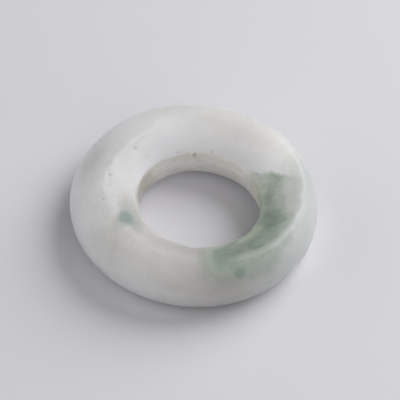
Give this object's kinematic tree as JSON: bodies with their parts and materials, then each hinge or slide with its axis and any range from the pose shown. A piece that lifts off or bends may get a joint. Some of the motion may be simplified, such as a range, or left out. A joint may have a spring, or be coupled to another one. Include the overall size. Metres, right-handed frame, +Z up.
{
  "type": "jade ring disc",
  "caption": "Small thick ring of pale jade with a green vein, half-round edge, dished faces and a hole drilled from both sides.",
  "frame": {"origin": "centre of the outer outline on the plane that the ring rests on", "axes": "+Z up through the hole, from the resting face to the more open face; +X to the right and -Y to the front as in the picture, so the green vein lies at +X"},
  "size_m": [0.03, 0.03, 0.0071],
  "materials": {
    "jade": "polished translucent white jade with a green vein, worn to a soft gloss"
  },
  "bodies": {
    "root": {"jade_disc": "jade"}
  },
  "joints": []
}
